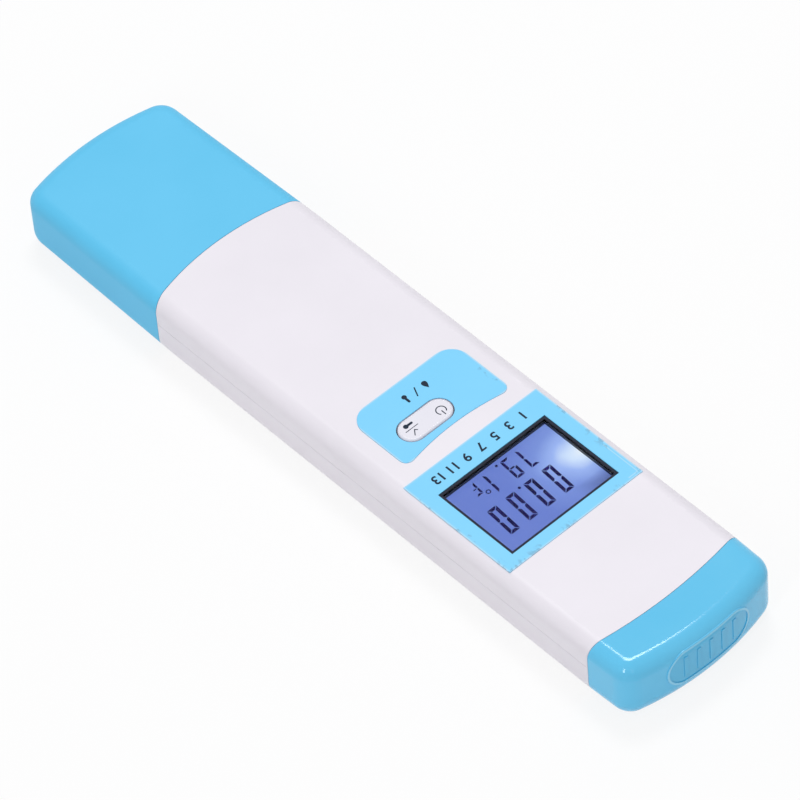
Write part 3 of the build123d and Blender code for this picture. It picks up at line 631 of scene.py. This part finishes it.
# The printing on the films: dark blue-black ink, a scale of plain numbers in the strip
# below the window, and a droplet, a slash and a thermometer beside the key.
ink_rise = 0.000012
film_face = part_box("display_label")[1].z
ink_colour = (10, 30, 50)
ink_shade = (16, 38, 60)
ink_cloud_size = 0.0004
scale_low_x, scale_high_x = -0.0111, 0.0112
scale_y = 0.02690
scale_numbers = range(1, 15, 2)
number_height = 0.00305
number_boldness = 0.022
number_curve_steps = 5
marks_y = 0.00778
droplet_x, droplet_height, droplet_fullness, droplet_points = -0.00325, 0.0021, 0.42, 32
slash_x, slash_half_width, slash_half_height, slash_line = -0.00065, 0.0005, 0.0011, 0.00028
thermometer_x, thermometer_height = 0.00195, 0.0023
thermometer_bulb_share, thermometer_stem_share = 0.24, 0.12
bulb_points, stem_points = 22, 9


def lettering(words, x, y, size, base, rise):
    """Points and faces of flat figures centred on x and y, in the plain built-in face, welded shut."""
    curve = bpy.data.curves.new("figures", "FONT")
    curve.body = words
    curve.size = size
    curve.align_x = "CENTER"
    curve.align_y = "CENTER"
    curve.offset = size * number_boldness
    curve.extrude = rise / 2
    curve.resolution_u = number_curve_steps
    holder = add_object("figures", curve)
    bpy.context.view_layer.update()
    evaluated = holder.evaluated_get(bpy.context.evaluated_depsgraph_get())
    mesh = bpy.data.meshes.new_from_object(evaluated)
    points = np.zeros(len(mesh.vertices) * 3)
    mesh.vertices.foreach_get("co", points)
    welded, place_of = np.unique(points.reshape(-1, 3).round(7), axis=0, return_inverse=True)
    place_of = place_of.ravel()
    faces = []
    for polygon in mesh.polygons:
        corners = place_of[list(polygon.vertices)].tolist()
        corners = list(dict.fromkeys(corners))
        if len(corners) > 2:
            faces.append(corners)
    bpy.data.objects.remove(holder)
    bpy.data.meshes.remove(mesh)
    return welded + (x, y, base + rise / 2), faces


def arc(x, y, radius, start, end, count):
    """Points along part of a circle, from one angle to another in degrees."""
    angles = np.radians(np.linspace(start, end, count))
    return np.column_stack([x + radius * np.cos(angles), y + radius * np.sin(angles)])


def droplet(x, y, height):
    """A drop's outline: a circle whose sides close to a point at the top, x = sin t sin(t/2)^1.5."""
    t = np.arange(droplet_points) * tau / droplet_points
    across = np.sin(t) * np.sin(t / 2) ** 1.5 * height * droplet_fullness
    return outward(np.column_stack([x + across, y + np.cos(t) * height / 2]))


def thermometer(x, y, height, turn=0.0):
    """A thermometer's outline: a round bulb below and a round-ended stem, turned by so many degrees."""
    bulb = height * thermometer_bulb_share
    stem = height * thermometer_stem_share
    opening = 90 - np.degrees(np.arcsin(stem / bulb))
    around = arc(0, bulb - height / 2, bulb, -180 - opening, opening, bulb_points)
    cap = arc(0, height / 2 - stem, stem, 0, 180, stem_points)
    c, s = cos(radians(turn)), sin(radians(turn))
    turned = np.vstack([around, cap]) @ np.array([[c, s], [-s, c]])
    return outward(turned) + (x, y)


print_shapes = []
for x, number in zip(np.linspace(scale_low_x, scale_high_x, len(scale_numbers)), scale_numbers):
    print_shapes.append(lettering(str(number), x, scale_y, number_height, film_face, ink_rise))
print_shapes.append(plate(droplet(droplet_x, marks_y, droplet_height), film_face, ink_rise))
slash = [(slash_x - slash_half_width, marks_y - slash_half_height),
         (slash_x + slash_half_width, marks_y + slash_half_height)]
print_shapes.append(stroke(slash, slash_line, film_face, ink_rise))
print_shapes.append(plate(thermometer(thermometer_x, marks_y, thermometer_height), film_face, ink_rise))

print_ink, tree, shader = new_material("print_ink")
ink_cloud = grain(tree, ink_cloud_size, detail=3.0)
feed(tree, shader, {
    "Base Color": tinted(tree, ink_cloud, [(0.35, ink_colour), (0.7, ink_shade)]),
    "Roughness": compute(tree, "MULTIPLY_ADD", ink_cloud, 0.15, 0.35),
    "Specular IOR Level": 0.15,
})
piece_from("film_printing", print_shapes, print_ink, "housing")

# The key: a pill of white plastic in a close dark gap, pressed against a dome switch.
# It carries a power sign, and beside it a thermometer, a short bar and a tick.
key_white = (228, 227, 236)
key_shade = (222, 221, 231)
key_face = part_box("button_key")[1].z
power_x, power_y, power_radius, power_line = -0.00075, 0.01490, 0.00105, 0.00022
power_start, power_end, power_points = 130, 410, 40
power_bar_low, power_bar_high = 0.0001, 0.0014
legend_x, legend_y, legend_half, legend_line = 0.00635, 0.0142, 0.0016, 0.00016
legend_thermometer_drop = 0.0011
tick_line = 0.0002
tick_short = [(-0.0006, 0.0011), (-0.0001, 0.0006)]
tick_long = [(-0.00016, 0.00056), (0.0008, 0.0018)]

key_plastic = moulded("key_plastic", key_white, key_shade,
                      gloss=0.38, grain_size=0.0003, grain_depth=0.000004)
dress(key_plastic, "button_key")
power_ring = arc(power_x, power_y, power_radius, power_start, power_end, power_points)
power_bar = [(power_x, power_y + power_bar_low), (power_x, power_y + power_bar_high)]
legend_bar = [(legend_x - legend_half, legend_y), (legend_x + legend_half, legend_y)]
legend_mark = thermometer(legend_x, legend_y - legend_thermometer_drop, thermometer_height, turn=90)
key_shapes = [
    stroke(power_ring, power_line, key_face, ink_rise),
    stroke(power_bar, power_line, key_face, ink_rise),
    stroke(legend_bar, legend_line, key_face, ink_rise),
    stroke(np.array(tick_short) + (legend_x, legend_y), tick_line, key_face, ink_rise),
    stroke(np.array(tick_long) + (legend_x, legend_y), tick_line, key_face, ink_rise),
    plate(legend_mark, key_face, ink_rise),
]
key_ink = print_ink.copy()
key_ink.name = "key_ink"
piece_from("key_printing", key_shapes, key_ink, "key")

# The works behind the front: a green board with its copper tracks under the lacquer, a tinned
# radio can, a cream socket, plated screws, and the cells with their brass contacts. The cells and
# the seals show once a cap is off, and the rest only when the pen is taken apart.
track_green = (40, 120, 62)
lacquer_green = (16, 74, 40)
track_size = 0.000625
drawn_line_size, drawn_line_depth, drawn_gloss_spread = 0.0008, 0.000003, 0.15


def metal(name, colour, shade, gloss, stretch):
    """Bare metal: fine lines drawn along one axis vary its colour, gloss and bump."""
    material, tree, shader = new_material(name)
    lines = grain(tree, drawn_line_size, detail=4.0, stretch=stretch)
    feed(tree, shader, {
        "Metallic": 1.0,
        "Base Color": tinted(tree, lines, [(0.3, shade), (0.7, colour)]),
        "Roughness": compute(tree, "MULTIPLY_ADD", lines, drawn_gloss_spread, gloss),
    })
    raised(tree, shader, lines, drawn_line_depth)
    return material


def irregular_cells(tree, size, **kind):
    """Distances in a pattern of irregular cells about size metres across."""
    pattern = add_node(tree, "ShaderNodeTexVoronoi", **kind)
    feed(tree, pattern, {"Vector": own_space(tree, [1 / size] * 3), "Scale": 1.0})
    return pattern.outputs["Distance"]


board_green, tree, shader = new_material("board_green")
tracks = irregular_cells(tree, track_size, feature="DISTANCE_TO_EDGE")
feed(tree, shader, {
    "Base Color": tinted(tree, tracks, [(0.05, track_green), (0.12, lacquer_green)]),
    "Roughness": 0.35,
})
dress(board_green, "main_board")
tinned = metal("tinned_can", (205, 206, 210), (186, 188, 193), gloss=0.28, stretch=(1, 8, 1))
dress(tinned, "radio_module")
plated = metal("plated_steel", (196, 198, 203), (172, 175, 181), gloss=0.2, stretch=(1, 6, 1))
dress(plated, "board_screws", "temperature_probe")
cell_can = metal("cell_can", (214, 214, 214), (196, 196, 198), gloss=0.18, stretch=(6, 1, 1))
dress(cell_can, "button_cells")
contact_brass = metal("contact_strip_metal", (206, 190, 140), (188, 170, 118), gloss=0.25, stretch=(1, 8, 1))
dress(contact_brass, "battery_spring", "battery_plate")
silver = metal("silver_wire_coat", (200, 200, 198), (150, 148, 146), gloss=0.35, stretch=(1, 4, 1))
dress(silver, "silver_wire")
cream = moulded("cream_plastic", (222, 214, 190), (212, 203, 178),
                gloss=0.5, grain_size=0.0003, grain_depth=0.000005)
dress(cream, "probe_socket", "switch_plunger", "reference_junction")
seal_rubber = moulded("seal_rubber", (36, 37, 40), (26, 27, 30),
                      gloss=0.62, grain_size=0.0004, grain_depth=0.00001)
dress(seal_rubber, "button_seal", "battery_gasket", "probe_seal_ring", "probe_leads")

# The probe: a dark collar plugs the neck and carries a clear slotted guard, inside it a glass
# tube that ends in a thin bulb, and beside it a steel temperature pin.
guard_tint, guard_index = (206, 222, 238), 1.57
glass_tint, glass_index = (236, 244, 248), 1.5
ripple_rise = 0.00001
collar_grey = moulded("collar_grey", (74, 78, 86), (66, 70, 78),
                      gloss=0.42, grain_size=0.0003, grain_depth=0.000006)
dress(collar_grey, "probe_collar")
guard_plastic = clear("guard_plastic", guard_tint, guard_index,
                      blur=0.18, ripple_size=0.003, ripple_depth=ripple_rise)
dress(guard_plastic, "probe_guard")
blown_glass = clear("blown_glass", glass_tint, glass_index,
                    blur=0.05, ripple_size=0.004, ripple_depth=ripple_rise)
dress(blown_glass, "electrode_tube", "glass_bulb")

# The wet sponge in the end of the long cap keeps the bulb from drying out. It is a block of
# open foam cut a little narrower than the cap, so its faces are full of small round pores. The pores are
# painted darker, as painted shade in their hollows.
# A darker yellow painted in the pores: painted shade.
pore_shade_yellow = (168, 150, 84)
foam_yellow = (232, 218, 150)
pore_size = 0.000125
pore_depth = 0.0003
sponge_foam, tree, shader = new_material("sponge_foam")
pores = irregular_cells(tree, pore_size)
feed(tree, shader, {
    "Base Color": tinted(tree, pores, [(0.1, pore_shade_yellow), (0.5, foam_yellow)]),
    "Roughness": 0.9,
})
raised(tree, shader, pores, pore_depth)
dress(sponge_foam, "soaking_sponge")

# The studio: a plain white table that runs on to the horizon and an even white surround. A
# softbox hangs high behind the pen, and a tall strip stands on each side of the camera.
table_half = 3.0
table_drop = 0.0001
table_grey = (243, 243, 243)
table_whitened = 0.86
surround_grey = (190, 190, 192)
pure_white = (1, 1, 1, 1)
back_aim = (0, 0.03, 0)
strip_aim = (0, 0.05, 0)


def seen_directly(tree):
    """1 for rays from the camera, in a mirror or through glass, and 0 for light on the object."""
    path = add_node(tree, "ShaderNodeLightPath")
    glossy = compute(tree, "MAXIMUM", path.outputs["Is Camera Ray"], path.outputs["Is Glossy Ray"])
    return compute(tree, "MAXIMUM", glossy, path.outputs["Is Transmission Ray"])


def emptied(holder):
    """The node tree of a material or a world, with nothing in it."""
    holder.use_nodes = True
    holder.node_tree.nodes.clear()
    return holder.node_tree


def softbox(name, place, aim, width, height, power):
    """A rectangular area light at place, turned towards aim."""
    data = bpy.data.lights.new(name, "AREA")
    data.shape = "RECTANGLE"
    data.size = width
    data.size_y = height
    data.energy = power
    light = add_object(name, data)
    light.location = place
    light.rotation_euler = (Vector(aim) - Vector(place)).to_track_quat("-Z", "Y").to_euler()


table_white = bpy.data.materials.new("table_white")
tree = emptied(table_white)
matt = add_node(tree, "ShaderNodeBsdfDiffuse")
feed(tree, matt, {"Color": linear(table_grey)})
white = add_node(tree, "ShaderNodeEmission")
feed(tree, white, {"Color": pure_white, "Strength": 1.0})
blend = add_node(tree, "ShaderNodeMixShader")
feed(tree, blend, {
    "Fac": product(tree, seen_directly(tree), table_whitened),
    1: matt.outputs["BSDF"],
    2: white.outputs["Emission"],
})
feed(tree, add_node(tree, "ShaderNodeOutputMaterial"), {"Surface": blend.outputs["Shader"]})

quarters = ((-1, -1), (1, -1), (1, 1), (-1, 1))
table_corners = [(x * table_half, y * table_half, -table_drop) for x, y in quarters]
table_mesh = bpy.data.meshes.new("table")
table_mesh.from_pydata(table_corners, [], [[0, 1, 2, 3]])
table_mesh.materials.append(table_white)
table = add_object("table", table_mesh)

world = bpy.data.worlds.new("studio_surround")
bpy.context.scene.world = world
tree = emptied(world)
surround = add_node(tree, "ShaderNodeBackground")
feed(tree, surround, {
    "Color": mixed(tree, seen_directly(tree), linear(surround_grey), pure_white),
    "Strength": 1.0,
})
feed(tree, add_node(tree, "ShaderNodeOutputWorld"), {"Surface": surround.outputs["Background"]})

softbox("back_softbox", (-0.24, -0.23, 0.92), back_aim, width=0.26, height=0.26, power=3.85)
softbox("left_strip", (0.76, 0.33, 0.58), strip_aim, width=0.10, height=0.40, power=1.9)
softbox("right_strip", (0.39, 0.78, 0.61), strip_aim, width=0.05, height=0.30, power=0.25)

bpy.context.scene.view_settings.view_transform = "Standard"
